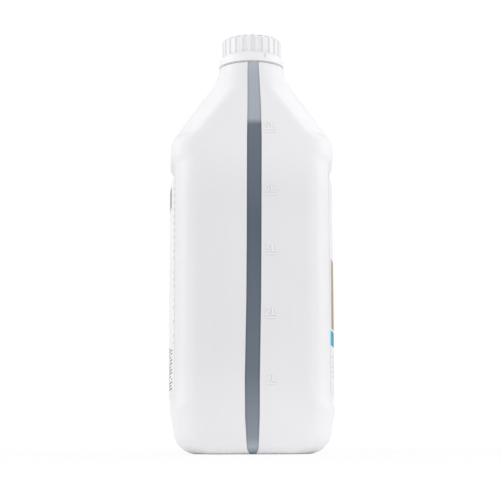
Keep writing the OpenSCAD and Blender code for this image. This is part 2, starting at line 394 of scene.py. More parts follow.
def makePolyethylene(s):
    made, tree, shader = newMaterial("blown_polyethylene")
    place = objectPlace(tree)
    x, y, z = put(tree, "ShaderNodeSeparateXYZ", {0: place}).outputs
    skin = useGroup(tree, mouldedSkin, Place=place, Peel=s["peel"], Sheen=s["sheen"])

    # Whiter where the wall is thicker over the shoulder; painted light makes the foot lighter, as from the
    # floor, and the +X side lighter
    shoulder = minus(tree, ease(tree, z, *s["shoulderGain"]), ease(tree, z, *s["neckLoss"]))
    shoulder = times(tree, shoulder, ease(tree, y, *s["shoulderFace"]))
    # painted light from the floor: lighter towards the foot
    thick = plus(tree, plus(tree, shoulder, 1.0), ease(tree, z, *s["footFloorLight"]))
    # painted light: the +X side lighter
    thick = plus(tree, thick, times(tree, x, s["lean"]))
    white = shaded(tree, s["white"], times(tree, skin["Tone"], thick))
    nook = useGroup(tree, nookShade, Reach=s["nookReach"], Deepest=s["nookDeepest"])["Shade"]
    white = shaded(tree, white, nook)
    white = mixed(tree, ease(tree, y, *s["markFace"]), white, s["markHighlight"])  # painted highlight: the raised litre marks whiter than the wall

    # Stripe up the pouring face: red of the ramp holds its middle line, green its half width
    up = calc(tree, "DIVIDE", z, s["stripeTall"])
    run = ramp(tree, up, [(at, (line, half, 0, 1)) for at, line, half in s["stripeRun"]])
    part = put(tree, "ShaderNodeSeparateColor", {0: run})
    middle = times(tree, minus(tree, part.outputs[0], 0.5), s["stripeScale"])
    halfWide = times(tree, part.outputs[1], s["stripeScale"])
    side = calc(tree, "ABSOLUTE", calc(tree, "DIVIDE", minus(tree, x, middle), halfWide))
    inFront, below = calc(tree, "LESS_THAN", y, s["stripeFace"]), calc(tree, "LESS_THAN", z, s["stripeTop"])
    facing = times(tree, inFront, below)
    stripe = times(tree, ease(tree, side, 0.97, 1.03, 1.0, 0.0), facing)
    wave = minus(tree, noise(tree, place, 60.0, 2.0), 0.5)
    lapped = plus(tree, up, times(tree, wave, s["lap"]))
    grey = ramp(tree, lapped, [(at, paint(*tone)) for at, tone in s["stripeTones"]])
    rimDark = times(tree, ease(tree, side, 0.62, 0.95), s["rimDark"])
    grey = shaded(tree, grey, minus(tree, 1.0, rimDark))

    # Parting line of the mould, all round the middle but for the stripe
    seam = inBand(tree, x, -s["seamHalf"], s["seamHalf"], s["seamSoft"])
    seam = times(tree, seam, minus(tree, 1.0, facing))
    height = plus(tree, times(tree, skin["Height"], s["peelHeight"]), times(tree, seam, s["seamHeight"]))
    bump = put(tree, "ShaderNodeBump", {"Strength": 0.55, "Distance": 0.0003, "Height": height})
    hook(
        tree, shader, Base_Color=mixed(tree, stripe, white, grey),
        Roughness=skin["Roughness"], Normal=bump.outputs[0])
    shader.inputs["IOR"].default_value = 1.5
    return made


# Moulded polypropylene of cap and band

capFinish = {
    "white": (0.94, 0.928, 0.954, 1.0), "sheen": 0.36, "peel": 900.0, "nookReach": 0.003, "nookDeepest": 0.62,
}


def makePolypropylene(s):
    made, tree, shader = newMaterial("moulded_polypropylene")
    skin = useGroup(tree, mouldedSkin, Place=objectPlace(tree), Peel=s["peel"], Sheen=s["sheen"])
    nook = useGroup(tree, nookShade, Reach=s["nookReach"], Deepest=s["nookDeepest"])["Shade"]
    white = shaded(tree, shaded(tree, s["white"], skin["Tone"]), nook)
    bump = put(tree, "ShaderNodeBump", {"Strength": 0.35, "Distance": 0.00006, "Height": skin["Height"]})
    hook(tree, shader, Base_Color=white, Roughness=skin["Roughness"], Normal=bump.outputs[0])
    shader.inputs["IOR"].default_value = 1.49
    return made


# Soft foam of the sealing disc

foamFinish = {"pale": (0.8, 0.8, 0.775, 1.0), "dark": (0.68, 0.68, 0.65, 1.0), "cells": 2600.0}


def makeFoam(s):
    made, tree, shader = newMaterial("liner_foam")
    foamed = {"Vector": objectPlace(tree), "Scale": s["cells"]}
    cells = put(tree, "ShaderNodeTexVoronoi", foamed).outputs["Distance"]
    bump = put(tree, "ShaderNodeBump", {"Strength": 0.4, "Distance": 0.00012, "Height": cells})
    hook(
        tree, shader, Base_Color=mixed(tree, ease(tree, cells, 0.15, 0.7), s["dark"], s["pale"]),
        Roughness=ease(tree, cells, 0.0, 0.8, 0.62, 0.9), Normal=bump.outputs[0])
    return made


# Cleaner, a dark liquid inside the bottle

cleanerFinish = {
    "deep": paint(58, 66, 78), "thin": paint(104, 116, 130), "level": 0.2474, "froth": 0.012, "swirl": 34.0,
}


def makeCleaner(s):
    made, tree, shader = newMaterial("slate_cleaner")
    place = objectPlace(tree)
    z = put(tree, "ShaderNodeSeparateXYZ", {0: place}).outputs[2]
    swirl = noise(tree, place, s["swirl"], 3.0)
    froth = ease(tree, z, s["level"] - s["froth"], s["level"])
    share = plus(tree, times(tree, swirl, 0.35), times(tree, froth, 0.5))
    hook(
        tree, shader, Base_Color=mixed(tree, share, s["deep"], s["thin"]),
        Roughness=ease(tree, swirl, 0.2, 0.8, 0.05, 0.14))
    shader.inputs["IOR"].default_value = 1.34
    return made


# Printed films of the two labels

filmSet = {
    "wrinkle": 45.0, "grain": 900.0, "grainShare": 0.08, "grainTone": (0.72, 0.73, 0.74, 1.0),
    "gloss": 0.1, "coat": 0.03, "coatRough": 0.12,
}


def makeFilmSkin(s):
    tree, come, go = newTree(
        "filmSkin", "ShaderNodeTree",
        [("Place", "NodeSocketVector", None), ("Film", "NodeSocketColor", (0.84, 0.85, 0.87, 1.0)),
         *floats(("Sheen", 0.3))],
        [("Paper", "NodeSocketColor"), ("Roughness", "NodeSocketFloat"), ("Normal", "NodeSocketVector")])
    place = come.outputs["Place"]
    wrinkle = noise(tree, place, s["wrinkle"], 2.0)
    grain = times(tree, noise(tree, place, s["grain"], 2.0), s["grainShare"])
    bump = put(tree, "ShaderNodeBump", {"Strength": 0.3, "Distance": 0.0004, "Height": wrinkle})
    hook(
        tree, go, Paper=mixed(tree, grain, come.outputs["Film"], s["grainTone"]),
        Roughness=plus(tree, come.outputs["Sheen"], ease(tree, wrinkle, 0.2, 0.8, -0.05, 0.06)),
        Normal=bump.outputs[0])
    return tree


filmSkin = makeFilmSkin(filmSet)


def startFilm(name, s):
    made, tree, shader = newMaterial(name)
    place = objectPlace(tree)
    spot = put(tree, "ShaderNodeSeparateXYZ", {0: place}).outputs
    skin = useGroup(tree, filmSkin, Place=place, Film=s["film"], Sheen=s["sheen"])
    hook(tree, shader, Roughness=skin["Roughness"], Normal=skin["Normal"])
    shader.inputs["Specular IOR Level"].default_value = filmSet["gloss"]
    shader.inputs["Coat Weight"].default_value = filmSet["coat"]
    shader.inputs["Coat Roughness"].default_value = filmSet["coatRough"]
    return made, tree, shader, spot["Y"], spot["Z"], skin["Paper"]


def field(tree, y, z, sides, heights):  # an oblong of the label
    return times(tree, inBand(tree, z, *heights), inBand(tree, y, *sides))


def bubble(tree, y, z, across, up, radius):  # a plain round on the label
    dy, dz = minus(tree, y, across), minus(tree, z, up)
    away = calc(tree, "SQRT", plus(tree, times(tree, dy, dy), times(tree, dz, dz)))
    return ease(tree, away, radius - 0.0003, radius + 0.0003, 1.0, 0.0)


def barRows(tree, y, up, sides, heights, pitch, word, seed):
    return useGroup(
        tree, printBars, Across=y, Up=up, Left=sides[0], Right=sides[1], Low=heights[0], High=heights[1],
        Pitch=pitch, Word=word, Seed=seed)["Mask"]


frontPrint = {
    "film": paint(243, 244, 246), "sheen": 0.36, "tan": paint(174, 139, 98), "pale": paint(190, 159, 124),
    "brown": paint(110, 74, 40), "brownShare": 0.75, "blue": paint(0, 125, 182), "cyan": paint(150, 238, 250),
    "sky": paint(206, 224, 234), "ink": paint(221, 223, 225),
    "tanY": (-0.0635, 0.0635), "tanZ": (0.0929, 0.1461), "brownY": (-0.046, 0.046, 0.004),
    "blueY": (-0.066, 0.066, 0.0008), "blueZ": (0.08, 0.0913), "skyY": (-0.028, 0.028), "skyZ": (0.164, 0.2),
    "barsY": (-0.062, 0.06), "barsZ": (0.0545, 0.073),
    "barsPitch": 0.0037, "barsWord": 0.0075, "barsSeed": 3.0,
    "bubbles": (  # across, up, radius
        (-0.014, 0.18, 0.0095), (0.002, 0.189, 0.0055), (0.011, 0.176, 0.0065), (0.019, 0.187, 0.004)),
    "bubbleShare": 0.8,
}


def makeFrontFilm(s):
    made, tree, shader, y, z, colour = startFilm("front_film", s)
    colour = mixed(tree, field(tree, y, z, s["skyY"], s["skyZ"]), colour, s["sky"])
    for across, up, radius in s["bubbles"]:
        share = times(tree, bubble(tree, y, z, across, up, radius), s["bubbleShare"])
        colour = mixed(tree, share, colour, s["film"])
    shade = mixed(tree, ease(tree, z, *s["tanZ"]), s["tan"], s["pale"])
    shade = mixed(tree, times(tree, inBand(tree, y, *s["brownY"]), s["brownShare"]), shade, s["brown"])
    colour = mixed(tree, field(tree, y, z, s["tanY"], s["tanZ"]), colour, shade)
    bar = mixed(tree, inBand(tree, y, *s["blueY"]), s["cyan"], s["blue"])
    colour = mixed(tree, inBand(tree, z, *s["blueZ"]), colour, bar)
    bars = barRows(tree, y, z, s["barsY"], s["barsZ"], s["barsPitch"], s["barsWord"], s["barsSeed"])
    hook(tree, shader, Base_Color=mixed(tree, bars, colour, s["ink"]))
    return made


backPrint = {
    "film": paint(244, 245, 246), "sheen": 0.38, "block": paint(160, 161, 164), "pale": paint(220, 223, 226),
    "faint": paint(198, 200, 203), "bold": paint(88, 90, 95),
    "blockY": (-0.052, 0.052), "blockZ": (0.1869, 0.2029), "paleY": (0.046, 0.065), "paleZ": (0.0545, 0.0735),
    "rows": (  # sides, heights, pitch, word, seed, ink, lean
        # first row: a column of faint grey dashes down the label's near edge
        ((-0.0705, -0.066), (0.0745, 0.2065), 0.0053, 0.0023, 1.0, "faint", 0.0),
        ((-0.022, 0.02), (0.0885, 0.1845), 0.0034, 0.0062, 3.0, "faint", 0.0),
        ((0.026, 0.066), (0.0885, 0.1845), 0.0034, 0.0062, 2.0, "faint", 0.0),
        ((-0.06, 0.042), (0.0448, 0.079), 0.0024, 0.0075, 4.0, "bold", 0.03)),
}


def makeBackFilm(s):
    made, tree, shader, y, z, colour = startFilm("back_film", s)
    colour = mixed(tree, field(tree, y, z, s["blockY"], s["blockZ"]), colour, s["block"])
    colour = mixed(tree, field(tree, y, z, s["paleY"], s["paleZ"]), colour, s["pale"])
    for sides, heights, pitch, word, seed, ink, lean in s["rows"]:
        up = plus(tree, z, times(tree, y, lean))
        colour = mixed(tree, barRows(tree, y, up, sides, heights, pitch, word, seed), colour, s[ink])
    hook(tree, shader, Base_Color=colour)
    return made


polyethylene, polypropylene = makePolyethylene(bottleFinish), makePolypropylene(capFinish)
foam, cleanerLiquid = makeFoam(foamFinish), makeCleaner(cleanerFinish)
frontFilm, backFilm = makeFrontFilm(frontPrint), makeBackFilm(backPrint)
print("materials:", len(bpy.data.materials))


# Bottle: one blown skin, worked out as a distance field in mm and then skinned

bottleForm = {
    "rimHalf": 61.3, "panelHalf": 57.8, "footHalf": 58.3, "frontY": -90.0, "backY": 90.0,
    "cornerR": 20.0, "baseR": 17.0, "baseFrontR": 4.5, "topR": 12.0, "footTop": 34.0, "bodyTop": 235.9,
    "rimBow": 1.0, "panelBow": 10.8, "panelLow": 41.5, "panelHigh": 215.6,
    "panelStep": 6.5, "panelStepLow": 8.5, "bowHigh": 206.6,
    "swellRight": 0.35, "swellLeft": 0.3, "swellZ": 105.0, "swellReach": 85.0, "swellY": 68.0,
    "shoulderZ": 226.1, "shoulderTurn": 35.0, "shoulderR": 22.0, "shoulderFoot": 6.0,
    "shoulderBack": 30.0, "shoulderBow": 4.0, "neckFillet": 16.0,
    "slopeBevel": 16.5, "bevelWiden": 5.0, "bevelTurn": 50.0, "bevelR": 8.0, "bevelSoft": 4.0,
    "neckY": -62.5, "collarR": 24.8, "collarTop": 292.52,
    "gripW": 30.0, "gripT": 23.0,
    "gripLine": ((-54.5, 261.9), (-12.9, 283.9), (81.6, 287.9), (76.0, 223.9)),
    "rootBlend": 10.0, "legBlend": 5.0, "saddleBlend": 9.0,
    "pushUp": 3.0, "standRing": 7.0, "pushSlope": 8.0,
    "wall": 1.2, "skinStep": 2.0, "insideStep": 4.0,
}


def easeAt(low, high, value):
    t = np.clip((value - low) / (high - low), 0.0, 1.0)
    return t * t * (3.0 - 2.0 * t)


def softMin(a, b, k):
    h = np.clip(k - np.abs(a - b), 0.0, None) / k
    return np.minimum(a, b) - h * h * k / 4


def softMax(a, b, k):
    return -softMin(-a, -b, k)


def outlineDistance(x, y, half, low, high, corner, bow):  # rounded oblong with bowed long sides
    px, reach = np.abs(x), (high - low) / 2
    py = np.abs(y - (low + high) / 2)
    cx, cy = half - corner, reach - corner
    big = (reach - corner * (1 - np.sin(bow))) / np.sin(bow)
    bx = cx + (corner - big) * np.cos(bow)
    ax, ay = px - cx, py - cy
    atCorner = (ax > 0) & (ay > ax * np.tan(bow))
    return np.where(atCorner, np.hypot(ax, ay) - corner, np.maximum(py - reach, np.hypot(px - bx, py) - big))


def panelForm(z):  # half width and bow of the body, with a groove left above each panel
    s = bottleForm
    foot = np.clip((z - s["baseR"]) / (s["footTop"] - s["baseR"]), 0, 1)
    up = easeAt(s["panelLow"] - s["panelStepLow"], s["panelLow"], z)
    sunk = up * (1 - easeAt(s["panelHigh"], s["panelHigh"] + s["panelStep"], z))
    bent = up * (1 - easeAt(s["bowHigh"], s["panelHigh"], z))
    half = s["footHalf"] + (s["rimHalf"] - s["footHalf"]) * foot - (s["rimHalf"] - s["panelHalf"]) * sunk
    return half, np.radians(s["rimBow"] + (s["panelBow"] - s["rimBow"]) * bent)


def panelSwell(side, y, z):  # the filled panels belly out a little, low down
    s = bottleForm
    most = np.where(side > 0, s["swellRight"], s["swellLeft"])
    fall = np.clip(1 - ((z - s["swellZ"]) / s["swellReach"]) ** 2, 0, None) ** 2
    return most * fall * np.clip(1 - (y / s["swellY"]) ** 2, 0, None)


def bodyDistance(x, y, z):
    s = bottleForm
    half, bow = panelForm(z)
    slim = np.abs(x) - panelSwell(x, y, z)
    flat = outlineDistance(slim, y, half, s["frontY"], s["backY"], s["cornerR"], bow)
    lower = z < s["bodyTop"] / 2
    facing = easeAt(-58, -84, y) * easeAt(46, 28, np.abs(x))  # the pouring face turns under more tightly
    edge = np.where(lower, s["baseR"] + (s["baseFrontR"] - s["baseR"]) * facing, s["topR"])
    level = np.where(lower, edge - z, z - s["bodyTop"] + edge)
    a = flat + edge
    return np.minimum(np.maximum(a, level), 0) + np.hypot(np.maximum(a, 0), np.maximum(level, 0)) - edge


def shoulderHalf(z):  # rim, round, slope, hollow round, neck
    s = bottleForm
    turn = math.radians(s["shoulderTurn"])
    slopeX = s["rimHalf"] - s["shoulderR"] * (1 - math.cos(turn))
    slopeZ = s["shoulderZ"] + s["shoulderR"] * math.sin(turn)
    filletX = s["collarR"] + s["neckFillet"] * (1 - math.cos(turn))
    filletZ = slopeZ + (slopeX - filletX) / math.tan(turn)
    columnZ = filletZ + s["neckFillet"] * math.sin(turn)
    up = np.clip(z - s["shoulderZ"], 0, s["shoulderR"] * math.sin(turn))
    half = s["rimHalf"] - s["shoulderR"] + np.sqrt(s["shoulderR"] ** 2 - up ** 2)
    half = np.where(z > slopeZ, slopeX - (z - slopeZ) * math.tan(turn), half)
    down = np.clip(columnZ - z, 0, s["neckFillet"] * math.sin(turn))
    hollow = s["collarR"] + s["neckFillet"] - np.sqrt(s["neckFillet"] ** 2 - down ** 2)
    return np.where(z > filletZ, hollow, half)


def shoulderDistance(x, y, z):
    s = bottleForm
    half = shoulderHalf(z)
    u = (s["rimHalf"] - half) / (s["rimHalf"] - s["collarR"])
    low = s["frontY"] + (s["neckY"] - s["collarR"] - s["frontY"]) * easeAt(0.5, 1.0, u)
    high = s["neckY"] + s["collarR"] + s["shoulderBack"] * (1 - u)
    corner = s["cornerR"] + (s["collarR"] - 0.4 - s["cornerR"]) * u
    bow = math.radians(s["shoulderBow"])
    flat = outlineDistance(x, y, half, low, high, corner, bow)
    turn = math.radians(s["bevelTurn"])  # a bevel runs up both slopes beside the pouring face
    inward = np.abs(x) - half + s["slopeBevel"] + s["bevelWiden"] * u
    cut = inward * math.sin(turn) + (low - y) * math.cos(turn)
    bevelled = softMax(outlineDistance(x, y, half, low, high, s["bevelR"], bow), cut, s["bevelSoft"])
    share = easeAt(0.0, 0.14, u) * (1 - easeAt(0.65, 1.0, u)) * easeAt(-40, -60, y)
    flat = flat + (bevelled - flat) * share
    return np.maximum(softMax(flat, z - s["collarTop"], 1.6), s["shoulderZ"] - s["shoulderFoot"] - z)


def gripLine(count):
    p = np.array(bottleForm["gripLine"])
    t = np.linspace(0, 1, count)[:, None]
    line = (1 - t) ** 3 * p[0] + 3 * (1 - t) ** 2 * t * p[1] + 3 * (1 - t) * t * t * p[2] + t ** 3 * p[3]
    way = (1 - t) ** 2 * (p[1] - p[0]) + 2 * (1 - t) * t * (p[2] - p[1]) + t * t * (p[3] - p[2])
    return line, way / np.linalg.norm(way, axis=1)[:, None]


gripPath, gripWay = gripLine(181)


def handleDistance(x, y, z):
    a, b = bottleForm["gripW"] / 2, bottleForm["gripT"] / 2
    nearest = np.empty(len(y), int)
    for i in range(0, len(y), 20000):
        part = slice(i, i + 20000)
        gap = (y[part, None] - gripPath[:, 0]) ** 2 + (z[part, None] - gripPath[:, 1]) ** 2
        nearest[part] = gap.argmin(axis=1)
    off = np.stack((y, z), 1) - gripPath[nearest]
    way = gripWay[nearest]
    across = off[:, 0] * way[:, 1] - off[:, 1] * way[:, 0]
    along = off[:, 0] * way[:, 0] + off[:, 1] * way[:, 1]
    ends = (nearest == 0) | (nearest == len(gripPath) - 1)
    across = np.where(ends, np.hypot(across, along), across)
    k0 = np.hypot(x / a, across / b)
    k1 = np.hypot(x / a ** 2, across / b ** 2)
    return np.where(k0 < 0.15, -b * 0.85, k0 * (k0 - 1) / np.maximum(k1, 1e-6))


def pushDistance(x, y, z):  # the push-up under the base
    s = bottleForm
    edge = s["baseR"] + s["standRing"] + z * s["pushSlope"] / s["pushUp"]
    half, low, high = s["footHalf"] - edge, s["frontY"] + edge, s["backY"] - edge
    flat = outlineDistance(x, y, half, low, high, s["cornerR"], math.radians(s["rimBow"]))
    lean = s["pushUp"] / math.hypot(s["pushUp"], s["pushSlope"])
    return np.maximum(flat * lean, z - s["pushUp"])


def bottleDistance(points):
    s = bottleForm
    x, y, z = points[:, 0], points[:, 1], points[:, 2]
    body = bodyDistance(x, y, z)
    form = softMin(body, shoulderDistance(x, y, z), 0.02 + s["saddleBlend"] * easeAt(-50, -22, y))
    near = (z > 200) & (np.abs(x) < 34)
    grip = np.full(len(x), 60.0)
    if near.any():
        grip[near] = handleDistance(x[near], y[near], z[near])
    form = softMin(form, grip, s["rootBlend"] + (s["legBlend"] - s["rootBlend"]) * easeAt(10, 55, y))
    return softMax(form, -pushDistance(x, y, z), 3.0)


def slope(points, reach=0.04):
    here = np.empty_like(points)
    for axis in range(3):
        step = np.zeros(3)
        step[axis] = reach
        here[:, axis] = (bottleDistance(points + step) - bottleDistance(points - step)) / (2 * reach)
    return here


def skinOver(level, step):  # one quad for every grid edge that the surface crosses
    low, high = np.array((-72.0, -97.0, -5.0)), np.array((72.0, 97.0, 298.0))
    size = np.ceil((high - low) / step).astype(int) + 1
    grid = np.stack(np.meshgrid(*[low[i] + step * np.arange(size[i]) for i in range(3)], indexing="ij"), -1)
    values = (bottleDistance(grid.reshape(-1, 3)) + level).reshape(size)
    inside = values < 0
    cut = size - 1

    def corner(array, i, j, k):
        return array[i:cut[0] + i, j:cut[1] + j, k:cut[2] + k]

    corners = [(i, j, k) for i in (0, 1) for j in (0, 1) for k in (0, 1)]
    filled = sum(corner(inside, *c).astype(int) for c in corners)
    crossed = (filled > 0) & (filled < 8)
    total, hits = np.zeros((*cut, 3)), np.zeros(cut)
    for c in corners:
        for axis in range(3):
            if c[axis]:
                continue
            d = tuple(c[i] + (i == axis) for i in range(3))
            va, vb = corner(values, *c), corner(values, *d)
            split = (va < 0) != (vb < 0)
            t = np.where(split, va / np.where(split, va - vb, 1), 0)
            for i in range(3):
                total[..., i] += np.where(split, c[i] + (t if i == axis else 0), 0)
            hits += split
    index = np.full(cut, -1)
    index[crossed] = np.arange(crossed.sum())
    points = low + step * (np.argwhere(crossed) + total[crossed] / hits[crossed][:, None])
    rounds = (  # the four cells round a grid edge along x, y and z
        ((0, 1, 1), (0, 0, 1), (0, 0, 0), (0, 1, 0)),
        ((1, 0, 1), (1, 0, 0), (0, 0, 0), (0, 0, 1)),
        ((1, 1, 0), (0, 1, 0), (0, 0, 0), (1, 0, 0)))
    quads = []
    for axis, cells in enumerate(rounds):
        first = [slice(0, -1) if i == axis else slice(1, -1) for i in range(3)]
        second = [slice(1, None) if i == axis else slice(1, -1) for i in range(3)]
        a, b = inside[tuple(first)], inside[tuple(second)]
        spots = np.argwhere(a != b) + [0 if i == axis else 1 for i in range(3)]
        ring = np.stack([index[tuple((spots - np.array(c)).T)] for c in cells], 1)
        outward = a[a != b]
        quads.append(np.where(outward[:, None], ring, ring[:, ::-1]))
    quads = np.concatenate(quads)
    links = np.concatenate([quads[:, [i, (i + 1) % 4]] for i in range(4)])
    count = np.bincount(links.ravel(), minlength=len(points))
    for turn in range(4):
        if turn < 3:  # even out the mesh along the surface
            ends = ((links[:, 0], links[:, 1]), (links[:, 1], links[:, 0]))
            total = [sum(np.bincount(a, points[b, i], len(points)) for a, b in ends) for i in range(3)]
            points = points + 0.6 * (np.stack(total, 1) / count[:, None] - points)
        for repeat in range(2):
            way = slope(points)
            away = bottleDistance(points) + level
            points = points - np.clip(away / np.maximum((way ** 2).sum(1), 0.2), -step, step)[:, None] * way
    return points * mm, quads.tolist()


outerPoints, outerQuads = skinOver(0.0, bottleForm["skinStep"])
bottle = addPiece("bottle_skin", outerPoints, outerQuads)
innerPoints, innerQuads = skinOver(bottleForm["wall"], bottleForm["insideStep"])
hollow = addPiece("bottle_inside", innerPoints, innerQuads)
print("bottle skin:", len(outerQuads), "quads outside,", len(innerQuads), "inside")


# Cleaner, a little slack of the wall and level at the top

cleanerSet = {"slack": 0.3, "level": 247.4, "step": 4.0}


def makeCleanerBody(s):
    points, quads = skinOver(bottleForm["wall"] + s["slack"], s["step"])
    body = addPiece("cleaner_body", points, quads)
    far = 0.1
    square = ((-far, -far), (far, -far), (far, far), (-far, far))
    corners = [(x, y, z) for z in (-0.01, s["level"] * mm) for x, y in square]
    weld(body, addPiece("below_level", corners, boxFaces), "INTERSECT")
    smoothFaces(body, 40)
    return body


cleanerBody = makeCleanerBody(cleanerSet)
print("cleaner:", len(cleanerBody.data.polygons), "faces")


# Thread ridge along a helix, used on the neck and inside the cap

def makeThreadTree():
    inputs = floats(
        ("Radius", 0.0193), ("Pitch", 0.004), ("Turns", 2.0), ("Height", 0.0016),
        ("Root Width", 0.0016), ("Tip Width", 0.0008), ("Start Turn", 0.0))
    inputs += [("Place", "NodeSocketVector", None), ("Material", "NodeSocketMaterial", None)]
    tree, come, go = newTree("threadRidge", "GeometryNodeTree", inputs, [("Geometry", "NodeSocketGeometry")])
    get = come.outputs
    helix = put(tree, "GeometryNodeCurveSpiral", {
        "Resolution": 64, "Rotations": get["Turns"], "Start Radius": get["Radius"], "End Radius": get["Radius"],
        "Height": times(tree, get["Pitch"], get["Turns"]), "Reverse": True})
    upright = put(tree, "GeometryNodeSetCurveNormal", {"Curve": helix.outputs[0]}, mode="Z_UP")
    section = put(tree, "GeometryNodeCurvePrimitiveQuadrilateral", {
        "Height": get["Height"], "Bottom Width": get["Root Width"], "Top Width": get["Tip Width"],
        "Offset": 0.0}, mode="TRAPEZOID")
    turned = put(tree, "GeometryNodeTransform", {
        "Geometry": section.outputs[0], "Rotation": (0, 0, -math.pi / 2)})
    along = put(tree, "GeometryNodeSplineParameter").outputs["Factor"]
    taper = times(tree, ease(tree, along, 0.0, 0.07, 0.12, 1.0), ease(tree, along, 0.93, 1.0, 1.0, 0.12))
    ridge = put(tree, "GeometryNodeCurveToMesh", {
        "Curve": upright.outputs[0], "Profile Curve": turned.outputs[0], "Scale": taper, "Fill Caps": True})
    spin = put(tree, "ShaderNodeCombineXYZ", {"Z": get["Start Turn"]})
    placed = put(tree, "GeometryNodeTransform", {
        "Geometry": ridge.outputs[0], "Translation": get["Place"], "Rotation": spin.outputs[0]})
    endMesh(tree, come, go, placed.outputs[0])
    return tree


threadTree = makeThreadTree()


def makeThread(name, s, finish):
    ridge = addPiece(name, [], [])
    runNodes(ridge, threadTree, {
        "Radius": s["threadR"] * mm, "Pitch": s["pitch"] * mm, "Turns": s["threadTurns"],
        "Height": s["threadHeight"] * mm, "Root Width": s["threadRoot"] * mm, "Tip Width": s["threadTip"] * mm,
        "Place": (0, bottleForm["neckY"] * mm, s["threadLow"] * mm), "Start Turn": s["threadStart"],
        "Material": finish})
    closeUp(ridge, 1e-7)
    return ridge


# Neck finish: bead, thread and rounded mouth, welded on the skin, then bored through

neckSet = {
    "finishR": 18.6, "boreR": 16.5, "top": 310.62, "beadR": 21.0, "beadLow": 298.22, "beadHigh": 300.02,
    "sink": 2.5, "innerR": 17.0, "coreR": 17.2, "boreSink": 6.0, "turns": 144,
    "threadR": 18.95, "threadHeight": 1.9, "threadRoot": 2.0, "threadTip": 0.9,
    "threadLow": 301.6, "threadTurns": 1.7, "threadStart": 0.6, "pitch": 4.0,
}


def makeNeck(s):
    base, top, finishR, beadLow = bottleForm["collarTop"] - s["sink"], s["top"], s["finishR"], s["beadLow"]
    outside = [
        (s["innerR"], base, 0), (finishR, base, 0), (finishR, beadLow, 0.3), (s["beadR"], beadLow, 0.3),
        (s["beadR"], beadLow + 0.9, 0.4), (finishR, s["beadHigh"], 0.5), (finishR, top, 0.6),
        (s["innerR"], top, 0)]
    neck = lathe("neck_finish", roundOff(outside), s["turns"], bottleForm["neckY"])
    rod = [(0.0, base - 0.1, 0), (s["coreR"], base - 0.1, 0), (s["coreR"], top, 0), (0.0, top, 0)]
    weld(neck, lathe("neck_core", roundOff(rod), s["turns"], bottleForm["neckY"]), "UNION")
    weld(neck, makeThread("neck_thread", s, polyethylene), "UNION")
    return neck


def makeBore(s):
    foot, mouth = bottleForm["collarTop"] - s["boreSink"], s["top"] + 0.6
    path = [
        (0.0, foot, 0), (s["boreR"], foot, 0), (s["boreR"], s["top"] - 0.7, 0.4),
        (s["boreR"] + 0.9, mouth, 0), (0.0, mouth, 0)]
    return lathe("bore", roundOff(path), s["turns"], bottleForm["neckY"])


weld(bottle, makeNeck(neckSet), "UNION")
print("neck welded:", len(bottle.data.polygons))


# Litre marks, raised beside the stripe: strokes in a cell one high, swept with a round section

markSet = {
    "heights": (51.1, 99.5, 146.3, 190.7, 237.7), "right": 17.5, "tall": 5.2, "base": 2.0,
    "wide": 0.64, "gap": 0.38, "foot": 0.56, "strokeR": 0.48, "out": 0.2, "round": 0.4, "oneIn": 0.14,
    "strokes": {
        1: ((0.16, 0.74), (0.42, 1.0), (0.42, 0.0)),
        2: ((0.03, 0.76), (0.11, 0.93), (0.32, 1.0), (0.53, 0.92), (0.6, 0.73), (0.5, 0.5),
            (0.03, 0.0), (0.64, 0.0)),
        3: ((0.04, 0.88), (0.3, 1.0), (0.55, 0.91), (0.59, 0.72), (0.36, 0.54), (0.61, 0.36),
            (0.59, 0.12), (0.3, 0.0), (0.03, 0.12)),
        4: ((0.42, 1.0), (0.0, 0.3), (0.66, 0.3)),
        5: ((0.58, 1.0), (0.13, 1.0), (0.08, 0.54), (0.3, 0.63), (0.55, 0.53), (0.63, 0.31),
            (0.53, 0.08), (0.28, 0.0), (0.03, 0.1)),
        "stem": ((0.46, 0.66), (0.46, 0.0)), "L": ((0.0, 1.0), (0.0, 0.0), (0.56, 0.0)),
    },
}


def makeStrokeTree():
    inputs = [
        ("Geometry", "NodeSocketGeometry", None), ("Material", "NodeSocketMaterial", None),
        *floats(("Stroke Radius", 0.00045), ("Corner Radius", 0.0004))]
    tree, come, go = newTree("strokeRidge", "GeometryNodeTree", inputs, [("Geometry", "NodeSocketGeometry")])
    get = come.outputs
    line = put(tree, "GeometryNodeMeshToCurve", {"Mesh": get["Geometry"]})
    bent = put(tree, "GeometryNodeFilletCurve", {
        "Curve": line.outputs[0], "Count": 4, "Radius": get["Corner Radius"],
        "Limit Radius": True}, mode="POLY")
    section = put(tree, "GeometryNodeCurvePrimitiveCircle", {"Resolution": 12, "Radius": get["Stroke Radius"]})
    ridge = put(tree, "GeometryNodeCurveToMesh", {
        "Curve": bent.outputs[0], "Profile Curve": section.outputs[0], "Fill Caps": True})
    endMesh(tree, come, go, ridge.outputs[0])
    return tree


strokeTree = makeStrokeTree()


def sweepStrokes(name, lines, s):  # lines of (across, up) in mm on the pouring face
    points, edges = [], []
    for line in lines:
        edges += [(len(points) + i, len(points) + i + 1) for i in range(len(line) - 1)]
        points += [(x * mm, (bottleForm["frontY"] - s["out"]) * mm, z * mm) for x, z in line]
    piece = addPiece(name, points, [], edges)
    runNodes(piece, strokeTree, {
        "Stroke Radius": s["strokeR"] * mm, "Corner Radius": s["round"] * mm, "Material": polyethylene})
    closeUp(piece, 1e-6)
    return piece


def markLines(number, height, s):
    tall, low = s["tall"], height + s["base"]
    letter = s["right"] - s["foot"] * tall
    figure = letter - (s["gap"] + s["wide"]) * tall

    def place(stroke, left):
        return [(left + x * tall, low + z * tall) for x, z in s["strokes"][stroke]]

    left = figure + (s["oneIn"] * tall if number == 1 else 0)
    under = [(left, height), (s["right"], height)]
    return [place(number, left), place("L", letter), under], place("stem", left)


